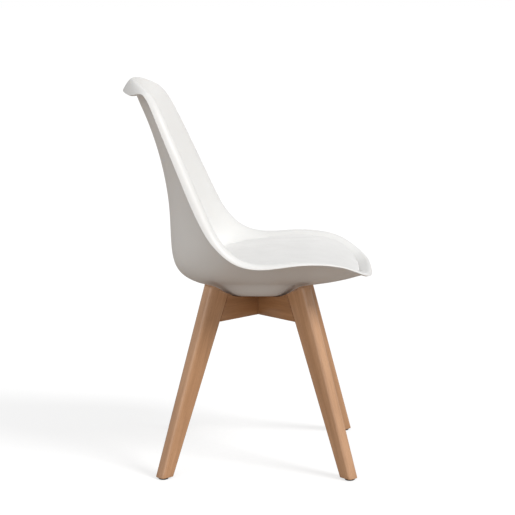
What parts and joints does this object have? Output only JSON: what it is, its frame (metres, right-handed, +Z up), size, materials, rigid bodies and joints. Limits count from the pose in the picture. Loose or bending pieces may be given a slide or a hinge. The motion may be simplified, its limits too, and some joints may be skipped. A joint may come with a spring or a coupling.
{
  "type": "dining chair",
  "caption": "Dining chair with a moulded bucket seat, a fitted seat cushion and splayed, tapered wood legs joined by crossed rails.",
  "frame": {"origin": "on the floor, at the middle of the chair's overall footprint", "axes": "+Z up, the chair's front faces -Y, the sitter's right hand is at -X"},
  "size_m": [0.484, 0.5365, 0.8318],
  "materials": {
    "shell_plastic": "satin moulded polypropylene, off-white",
    "cushion_cover": "smooth white coated fabric in the manner of leather",
    "beech": "solid beech, clear satin lacquer",
    "plywood": "raw plywood",
    "zinc_steel": "bright zinc plated",
    "insert_brass": "turned",
    "glide_plastic": "dark moulded"
  },
  "bodies": {
    "root": {"seat_shell": "shell_plastic", "seat_cushion": "cushion_cover", "cushion_board": "plywood", "cushion_screw_front_left": "zinc_steel", "cushion_screw_front_right": "zinc_steel", "cushion_screw_rear_left": "zinc_steel", "cushion_screw_rear_right": "zinc_steel", "rail_upper": "beech", "rail_lower": "beech", "leg_front_left": "beech", "leg_front_right": "beech", "leg_rear_left": "beech", "leg_rear_right": "beech", "dowel_lower_front_left": "beech", "dowel_upper_front_left": "beech", "dowel_lower_front_right": "beech", "dowel_upper_front_right": "beech", "dowel_lower_rear_left": "beech", "dowel_upper_rear_left": "beech", "dowel_lower_rear_right": "beech", "dowel_upper_rear_right": "beech", "frame_bolt_front_left": "zinc_steel", "frame_bolt_front_right": "zinc_steel", "frame_bolt_rear_left": "zinc_steel", "frame_bolt_rear_right": "zinc_steel", "frame_washer_front_left": "zinc_steel", "frame_washer_front_right": "zinc_steel", "frame_washer_rear_left": "zinc_steel", "frame_washer_rear_right": "zinc_steel", "shell_insert_front_left": "insert_brass", "shell_insert_front_right": "insert_brass", "shell_insert_rear_left": "insert_brass", "shell_insert_rear_right": "insert_brass", "glide_front_left": "glide_plastic", "glide_front_right": "glide_plastic", "glide_rear_left": "glide_plastic", "glide_rear_right": "glide_plastic", "glide_nail_front_left": "zinc_steel", "glide_nail_front_right": "zinc_steel", "glide_nail_rear_left": "zinc_steel", "glide_nail_rear_right": "zinc_steel"}
  },
  "joints": []
}
